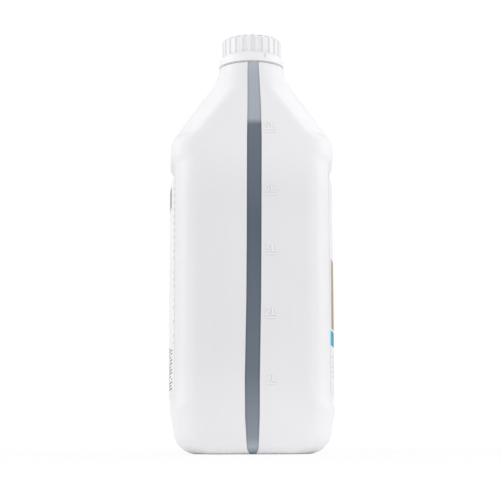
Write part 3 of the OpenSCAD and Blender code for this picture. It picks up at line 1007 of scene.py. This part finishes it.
markStrokes, fourStem = [], []
for number, height in enumerate(markSet["heights"], 1):
    strokes, stem = markLines(number, height, markSet)
    markStrokes += strokes
    if number == 4:
        fourStem = [stem]
weld(bottle, sweepStrokes("mark_strokes", markStrokes, markSet), "UNION")
weld(bottle, sweepStrokes("mark_stem", fourStem, markSet), "UNION")
print("litre marks:", len(bottle.data.polygons))

weld(bottle, hollow, "DIFFERENCE")
weld(bottle, makeBore(neckSet), "DIFFERENCE")
smoothFaces(bottle, 38)
print("bottle:", len(bottle.data.polygons), "faces")


# Cap: turned shape, with its ribs sunk by Geometry Nodes

capSet = {
    "outR": 22.65, "skirtR": 20.2, "bottom": 300.56, "under": 312.02, "top": 314.02, "edge": 0.35,
    "ribs": 24, "ribTurn": 2.0, "ribDepth": 1.05, "ribLow": 300.9, "ribFrom": 20.95,
    "crown": 2.0, "crownSteps": 8, "rows": 18, "turns": 24 * 20,
    "dish": ((19.5, 0.0), (17.2, 0.0), (16.8, 0.12), (12.0, 0.2), (6.0, 0.22), (0.0, 0.22)),  # radius, depth
    "threadR": 19.75, "threadHeight": 1.3, "threadRoot": 0.8, "threadTip": 1.7,
    "threadLow": 303.4, "threadTurns": 1.4, "threadStart": 0.6, "pitch": 4.0,
}


def makeRibTree():
    inputs = [
        ("Geometry", "NodeSocketGeometry", None), *floats(
            ("Rib Count", 24.0), ("Groove Depth", 0.0007), ("Rib Low", 0.3), ("Skirt Radius", 0.0212),
            ("Axis Y", 0.0), ("Rib Turn", 0.0)),
        ("Material", "NodeSocketMaterial", None)]
    tree, come, go = newTree("capRibs", "GeometryNodeTree", inputs, [("Geometry", "NodeSocketGeometry")])
    get = come.outputs
    x, y, z = put(tree, "ShaderNodeSeparateXYZ", {0: put(tree, "GeometryNodeInputPosition").outputs[0]}).outputs
    y = minus(tree, y, get["Axis Y"])
    flat = put(tree, "ShaderNodeCombineXYZ", {"X": x, "Y": y}).outputs[0]
    radius = put(tree, "ShaderNodeVectorMath", {0: flat}, operation="LENGTH").outputs["Value"]
    outward = put(tree, "ShaderNodeVectorMath", {0: flat}, operation="NORMALIZE").outputs[0]
    angle = minus(tree, calc(tree, "ARCTAN2", y, x), get["Rib Turn"])
    pitches = calc(tree, "DIVIDE", times(tree, angle, get["Rib Count"]), 2 * math.pi)
    share = calc(tree, "FRACT", pitches)
    swing = times(tree, calc(tree, "ABSOLUTE", minus(tree, share, 0.5)), 2.0)
    groove = ease(tree, swing, 0.26, 0.46)
    above = ease(tree, minus(tree, z, get["Rib Low"]), -0.0006, 0.0008)
    outside = ease(tree, minus(tree, radius, get["Skirt Radius"]), -0.0002, 0.0002)
    sunk = times(tree, times(tree, groove, above), outside)
    depth = times(tree, times(tree, sunk, get["Groove Depth"]), -1.0)
    push = put(tree, "ShaderNodeVectorMath", {0: outward, "Scale": depth}, operation="SCALE").outputs[0]
    moved = put(tree, "GeometryNodeSetPosition", {"Geometry": get["Geometry"], "Offset": push})
    endMesh(tree, come, go, moved.outputs[0])
    return tree


def makeCap(s):
    outR, skirt, low, high, under, edge = (s[n] for n in ("outR", "skirtR", "bottom", "top", "under", "edge"))
    path = [
        (0.0, under), (skirt - 0.6, under), (skirt, under - 0.6), (skirt, low + 0.5), (skirt + 0.4, low),
        (outR - 0.03, low), (outR, low + 0.04), (outR, low + edge)]
    wallTop = high - s["crown"]
    path += [(outR, low + edge + (wallTop - low - edge) * i / s["rows"]) for i in range(1, s["rows"] + 1)]
    for i in range(1, s["crownSteps"] + 1):
        a = math.pi / 2 * i / s["crownSteps"]
        path.append((outR - s["crown"] * (1 - math.cos(a)), wallTop + s["crown"] * math.sin(a)))
    path += [(r, high - depth) for r, depth in s["dish"]]
    cap = lathe("cap_shell", path, s["turns"], bottleForm["neckY"])
    runNodes(cap, makeRibTree(), {
        "Rib Count": float(s["ribs"]), "Groove Depth": s["ribDepth"] * mm, "Rib Low": s["ribLow"] * mm,
        "Skirt Radius": s["ribFrom"] * mm, "Axis Y": bottleForm["neckY"] * mm,
        "Rib Turn": math.radians(s["ribTurn"]), "Material": polypropylene})
    weld(cap, makeThread("cap_thread", s, polypropylene), "UNION")
    smoothFaces(cap, 35)
    return cap


cap = makeCap(capSet)
print("cap:", len(cap.data.polygons), "faces")


# Tamper band, with the slit where it starts to tear

bandSet = {
    "outR": 24.75, "topR": 22.65, "low": 293.1, "foot": 292.52, "footR": 23.8, "high": 300.5, "flare": 2.4,
    "lipR": 19.1, "lipTop": 297.72, "ringR": 21.5, "turns": 180,
    "slitAngle": 24.0, "slitW": 0.34, "slitLow": 295.7, "slitHigh": 299.5, "slitFrom": 20.9, "slitTo": 27.0,
}


def makeBand(s):
    path = [
        (s["lipR"], s["foot"], 0.2), (s["footR"], s["foot"], 0.2), (s["footR"], s["low"], 0.1),
        (s["outR"], s["low"], 0.8), (s["outR"], s["high"] - s["flare"], 1.2), (s["topR"], s["high"], 0.04),
        (s["ringR"], s["high"], 0.2), (s["ringR"], s["lipTop"], 0.2), (s["lipR"], s["lipTop"], 0.4)]
    band = lathe("band_ring", roundOff(path), s["turns"], bottleForm["neckY"])
    turn = math.radians(s["slitAngle"])
    near, far, half = s["slitFrom"], s["slitTo"], s["slitW"] / 2
    points = []
    for z in (s["slitLow"], s["slitHigh"]):
        for r, x in ((near, -half), (far, -half), (far, half), (near, half)):
            across = x * math.cos(turn) + r * math.sin(turn)
            along = bottleForm["neckY"] + x * math.sin(turn) - r * math.cos(turn)
            points.append((across * mm, along * mm, z * mm))
    blade = addPiece("blade", points, boxFaces)
    closeUp(blade)
    weld(band, blade, "DIFFERENCE")
    smoothFaces(band, 35)
    return band


band = makeBand(bandSet)
print("tamper band:", len(band.data.polygons), "faces")


# Sealing disc, with the ring that the mouth has pressed into it

linerSet = {"outR": 19.8, "low": 310.62, "high": 312.02, "pressIn": 16.6, "pressOut": 18.5, "press": 0.12}


def makeLiner(s):
    low, high, pressed = s["low"], s["high"], s["low"] + s["press"]
    path = [
        (0.0, low, 0), (s["pressIn"] - 0.5, low, 0.2), (s["pressIn"], pressed, 0.15),
        (s["pressOut"], pressed, 0.15), (s["pressOut"] + 0.5, low, 0.15), (s["outR"], low, 0.2),
        (s["outR"], high, 0.2), (0.0, high, 0)]
    liner = lathe("liner_disc", roundOff(path), 120, bottleForm["neckY"])
    smoothFaces(liner, 40)
    return liner


liner = makeLiner(linerSet)
print("sealing disc:", len(liner.data.polygons), "faces")


# Labels, bent over the panels

labelSet = {
    "sideIn": 2.5, "low": 43.5, "high": 210.0, "corner": 4.0, "thick": 0.2, "lift": 0.03,
    "columns": 96, "rows": 40,
}


def panelArc(z):  # half chord, radius and middle of the panel's bow at a height
    s = bottleForm
    half, bow = (float(v) for v in panelForm(np.array(z)))
    chord = s["backY"] - s["cornerR"] * (1 - math.sin(bow))
    radius = chord / math.sin(bow)
    return chord, radius, half - s["cornerR"] + (s["cornerR"] - radius) * math.cos(bow)


def makeLabel(name, side, s):
    half, corner = panelArc(s["low"])[0] - s["sideIn"], s["corner"]
    bends = [1 - math.cos(math.pi / 2 * i / 6) for i in range(7)]
    across = [-half + corner * b for b in bends]
    inner = s["columns"]
    across += [-half + corner + (2 * half - 2 * corner) * i / inner for i in range(1, inner)]
    across += [half - corner * b for b in reversed(bends)]
    points = []
    for layer in (s["lift"], s["lift"] + s["thick"]):
        for y in across:
            over = max(0.0, abs(y) - (half - corner))
            cut = corner - math.sqrt(max(0.0, corner ** 2 - over ** 2))
            for k in range(s["rows"] + 1):
                z = s["low"] + cut + (s["high"] - s["low"] - 2 * cut) * k / s["rows"]
                _, arcR, arcX = panelArc(z)
                a = math.asin(y / arcR)
                swell = float(panelSwell(np.array(side), np.array(y), np.array(z)))
                x = arcX + (arcR + layer) * math.cos(a) + swell
                points.append((side * x * mm, (y + layer * math.sin(a)) * mm, z * mm))
    rows, columns = s["rows"] + 1, len(across)
    back = rows * columns
    faces = []
    for i in range(columns - 1):
        for k in range(rows - 1):
            a, b = i * rows + k, (i + 1) * rows + k
            faces += [(a, a + 1, b + 1, b), (back + a, back + b, back + b + 1, back + a + 1)]
    rim = [i * rows for i in range(columns)] + [(columns - 1) * rows + k for k in range(1, rows)]
    rim += [i * rows + rows - 1 for i in range(columns - 2, -1, -1)] + [k for k in range(rows - 2, 0, -1)]
    for a, b in zip(rim, rim[1:] + rim[:1]):
        faces.append((a, b, back + b, back + a))
    piece = addPiece(name, points, faces)
    closeUp(piece, 1e-7)
    smoothFaces(piece, 50)
    return piece


frontLabel = makeLabel("front_label_film", 1, labelSet)
backLabel = makeLabel("back_label_film", -1, labelSet)
print("labels:", len(frontLabel.data.polygons), "faces each")


# Dress the pieces and hang them on their bodies

for piece, finish, body, node, slot in (
        (bottle, polyethylene, "jug", "bottle", "bottle_white"),
        (cleanerBody, cleanerLiquid, "jug", "cleaner", "cleaner_slate"),
        (band, polypropylene, "jug", "tamper_band", "cap_white"),
        (cap, polypropylene, "cap", "screw_cap", "cap_white"),
        (liner, foam, "liner", "cap_liner", "liner_foam"),
        (frontLabel, frontFilm, "jug", "front_label", "front_film"),
        (backLabel, backFilm, "jug", "back_label", "back_film")):
    dress(piece, finish)
    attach(piece, body)
    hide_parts(node)
print("pieces dressed")


# Pale floor, soft side light and a plain white surround

studioSet = {
    "dome": 0.735, "floorTone": 0.93, "floorHalf": 6.0, "floorZ": -0.0004,
    "lamps": (  # name, place, watts, size, turn
        ("left_lamp", (-1.28, -0.22, 0.7), 4.6, (0.75, 1.5), (90, 0, -80)),
        ("right_lamp", (1.28, -0.22, 0.7), 4.3, (0.75, 1.5), (90, 0, 80)),
        ("top_lamp", (0.0, 0.1, 1.5), 1.0, (1.2, 1.2), (0, 0, 0)),
        ("back_left_lamp", (-0.97, 0.61, 1.2), 1.5, (0.9, 0.9), (48.9, 0, -122.2)),
        ("back_right_lamp", (0.97, 0.61, 1.2), 1.5, (0.9, 0.9), (48.9, 0, 122.2)),
        ("front_left_lamp", (-1.0, -1.35, 0.1), 0.9, (0.7, 0.2), (90, 0, -38)),
        ("front_right_lamp", (1.0, -1.35, 0.1), 0.9, (0.7, 0.2), (90, 0, 38))),
}


def seenWhite(tree):  # the camera gets a white surround, the jug a softer one
    return put(tree, "ShaderNodeLightPath").outputs["Is Camera Ray"]


def makeStudio(s):
    world = bpy.data.worlds.new("surround")
    world.use_nodes = True
    scene.world = world
    tree = world.node_tree
    tree.nodes.clear()
    lit = put(tree, "ShaderNodeBackground", {"Color": (1, 1, 1, 1), "Strength": s["dome"]})
    seen = put(tree, "ShaderNodeBackground", {"Color": (1, 1, 1, 1), "Strength": 1.0})
    both = put(tree, "ShaderNodeMixShader", {0: seenWhite(tree), 1: lit.outputs[0], 2: seen.outputs[0]})
    put(tree, "ShaderNodeOutputWorld", {"Surface": both.outputs[0]})

    half, level = s["floorHalf"], s["floorZ"]
    corners = [(x * half, y * half, level) for x, y in ((-1, -1), (1, -1), (1, 1), (-1, 1))]
    floor = addPiece("floor", corners, [(0, 1, 2, 3)])
    made, tree, shader = newMaterial("pale_floor")
    tree.nodes.remove(shader)
    place = objectPlace(tree)
    far = put(tree, "ShaderNodeVectorMath", {0: place}, operation="LENGTH").outputs["Value"]
    tone = s["floorTone"]
    matt = put(tree, "ShaderNodeBsdfDiffuse", {"Color": (tone, tone, tone, 1)})
    glow = put(tree, "ShaderNodeEmission", {"Color": (1, 1, 1, 1), "Strength": 1.0})
    share = times(tree, seenWhite(tree), ease(tree, far, 0.1, 0.4, 0.9, 1.0))
    both = put(tree, "ShaderNodeMixShader", {0: share, 1: matt.outputs[0], 2: glow.outputs[0]})
    tree.links.new(both.outputs[0], tree.nodes["Material Output"].inputs["Surface"])
    dress(floor, made)

    for name, place, watts, size, turn in s["lamps"]:
        data = bpy.data.lights.new(name, "AREA")
        data.shape = "RECTANGLE"
        data.size, data.size_y = size
        data.energy = watts
        lamp = bpy.data.objects.new(name, data)
        lamp.location = place
        lamp.rotation_euler = [math.radians(a) for a in turn]
        scene.collection.objects.link(lamp)


makeStudio(studioSet)
print("studio set")

bpy.context.view_layer.update()
